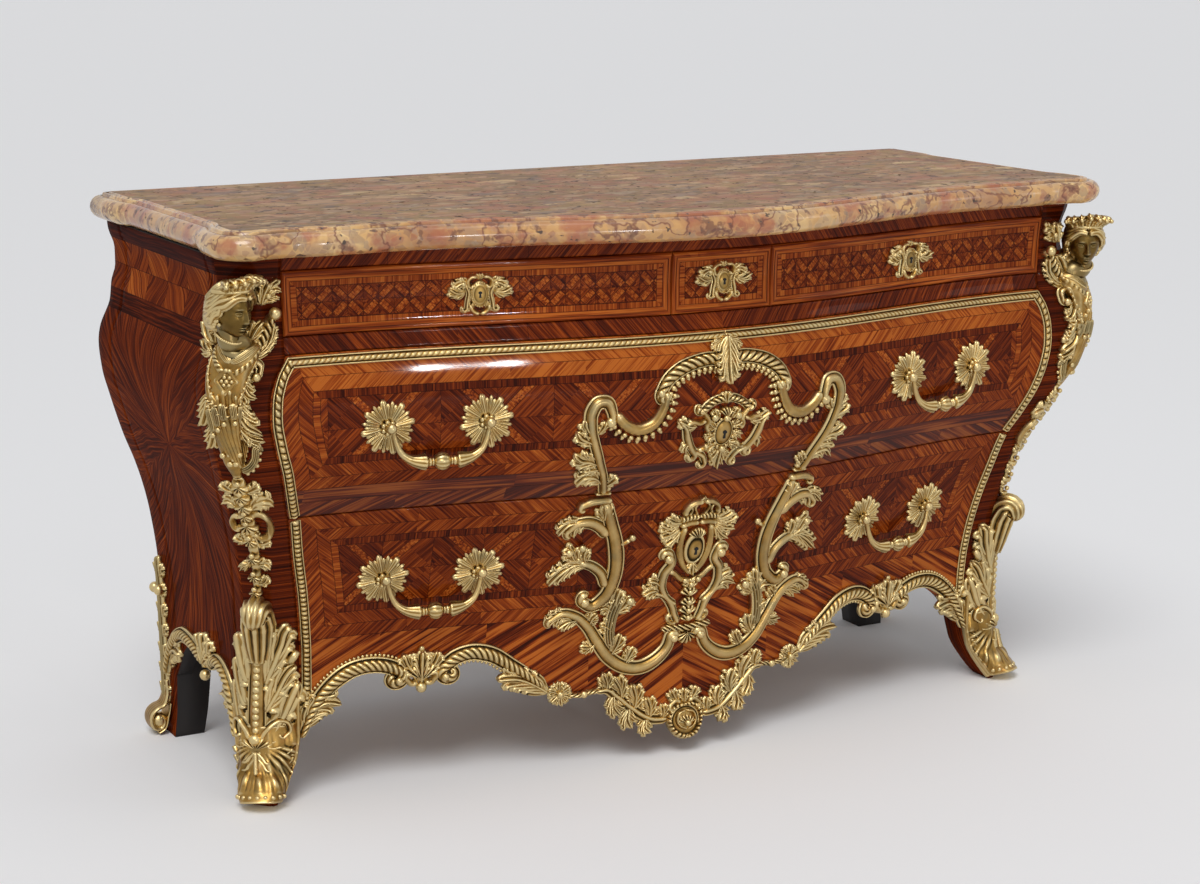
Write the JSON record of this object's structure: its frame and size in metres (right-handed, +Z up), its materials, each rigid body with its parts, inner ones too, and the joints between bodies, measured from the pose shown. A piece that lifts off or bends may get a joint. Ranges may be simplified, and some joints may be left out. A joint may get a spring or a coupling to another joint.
{
  "type": "bombe chest of drawers",
  "caption": "Bombe chest of drawers with a marble top, long lower drawers under a row of small frieze drawers, hinged bail handles, cabriole legs and gilt bronze mounts.",
  "frame": {"origin": "on the floor under the middle of the chest's bounding box", "axes": "+X towards the right end, -Y out of the front, the way the drawers open, +Z up"},
  "size_m": [1.5396, 0.6837, 0.864],
  "materials": {
    "veneered_wood": "glossy French polish over red-brown diagonal parquetry",
    "carcass_oak": "bare, aged",
    "gilt_bronze": "chased and gilt, darkened in the recesses",
    "lock_iron": "dark, dull",
    "marble": "polished veined marble, buff with red and grey"
  },
  "bodies": {
    "chest": {"back_panel": "carcass_oak", "bottom_board": "carcass_oak", "drawer_rail": "veneered_wood", "front_top_rail": "veneered_wood", "left_apron_mount": "gilt_bronze", "left_corner_mount": "gilt_bronze", "left_foot_mount": "gilt_bronze", "left_front_leg_post": "veneered_wood", "left_rear_foot_mount": "gilt_bronze", "left_rear_leg_post": "veneered_wood", "left_side_panel": "veneered_wood", "marble_top": "marble", "middle_dustboard": "carcass_oak", "right_apron_mount": "gilt_bronze", "right_corner_mount": "gilt_bronze", "right_foot_mount": "gilt_bronze", "right_front_leg_post": "veneered_wood", "right_rear_foot_mount": "gilt_bronze", "right_rear_leg_post": "veneered_wood", "right_side_panel": "veneered_wood", "upper_dustboard": "carcass_oak"},
    "frieze_left_drawer": {"frieze_left_box": "carcass_oak", "frieze_left_escutcheon": "gilt_bronze", "frieze_left_front": "veneered_wood", "frieze_left_lock": "lock_iron"},
    "frieze_centre_drawer": {"frieze_centre_box": "carcass_oak", "frieze_centre_escutcheon": "gilt_bronze", "frieze_centre_front": "veneered_wood", "frieze_centre_lock": "lock_iron"},
    "frieze_right_drawer": {"frieze_right_box": "carcass_oak", "frieze_right_escutcheon": "gilt_bronze", "frieze_right_front": "veneered_wood", "frieze_right_lock": "lock_iron"},
    "upper_drawer": {"upper_border": "gilt_bronze", "upper_cartouche": "gilt_bronze", "upper_drawer_box": "carcass_oak", "upper_drawer_front": "veneered_wood", "upper_drawer_lock": "lock_iron", "upper_escutcheon": "gilt_bronze", "upper_left_inner_rosette": "gilt_bronze", "upper_left_outer_rosette": "gilt_bronze", "upper_right_inner_rosette": "gilt_bronze", "upper_right_outer_rosette": "gilt_bronze"},
    "lower_drawer": {"front_apron_mount": "gilt_bronze", "lower_drawer_box": "carcass_oak", "lower_drawer_front": "veneered_wood", "lower_drawer_lock": "lock_iron", "lower_escutcheon": "gilt_bronze", "lower_left_border": "gilt_bronze", "lower_left_cartouche": "gilt_bronze", "lower_left_inner_rosette": "gilt_bronze", "lower_left_outer_rosette": "gilt_bronze", "lower_right_border": "gilt_bronze", "lower_right_cartouche": "gilt_bronze", "lower_right_inner_rosette": "gilt_bronze", "lower_right_outer_rosette": "gilt_bronze"},
    "upper_left_bail": {"upper_left_bail": "gilt_bronze"},
    "upper_right_bail": {"upper_right_bail": "gilt_bronze"},
    "lower_left_bail": {"lower_left_bail": "gilt_bronze"},
    "lower_right_bail": {"lower_right_bail": "gilt_bronze"}
  },
  "joints": [
    {"name": "frieze_left_slide", "type": "slide", "parent": "chest", "child": "frieze_left_drawer", "axis": [0, -1, 0], "range_m": [0, 0.38]},
    {"name": "frieze_centre_slide", "type": "slide", "parent": "chest", "child": "frieze_centre_drawer", "axis": [0, -1, 0], "range_m": [0, 0.38]},
    {"name": "frieze_right_slide", "type": "slide", "parent": "chest", "child": "frieze_right_drawer", "axis": [0, -1, 0], "range_m": [0, 0.38]},
    {"name": "upper_slide", "type": "slide", "parent": "chest", "child": "upper_drawer", "axis": [0, -1, 0], "range_m": [0, 0.4]},
    {"name": "lower_slide", "type": "slide", "parent": "chest", "child": "lower_drawer", "axis": [0, -1, 0], "range_m": [0, 0.36]},
    {"name": "upper_left_bail_hinge", "type": "hinge", "parent": "upper_drawer", "child": "upper_left_bail", "pos_m": [-0.436, -0.235, 0.574], "axis": [-0.9835, 0.1809, 0], "range_deg": [-5, 95]},
    {"name": "upper_right_bail_hinge", "type": "hinge", "parent": "upper_drawer", "child": "upper_right_bail", "pos_m": [0.436, -0.235, 0.574], "axis": [-0.9835, -0.1809, 0], "range_deg": [-5, 95]},
    {"name": "lower_left_bail_hinge", "type": "hinge", "parent": "lower_drawer", "child": "lower_left_bail", "pos_m": [-0.412, -0.15034, 0.33], "axis": [-0.9816, 0.1908, 0], "range_deg": [-5, 95]},
    {"name": "lower_right_bail_hinge", "type": "hinge", "parent": "lower_drawer", "child": "lower_right_bail", "pos_m": [0.412, -0.15034, 0.33], "axis": [-0.9816, -0.1908, 0], "range_deg": [-5, 95]}
  ]
}
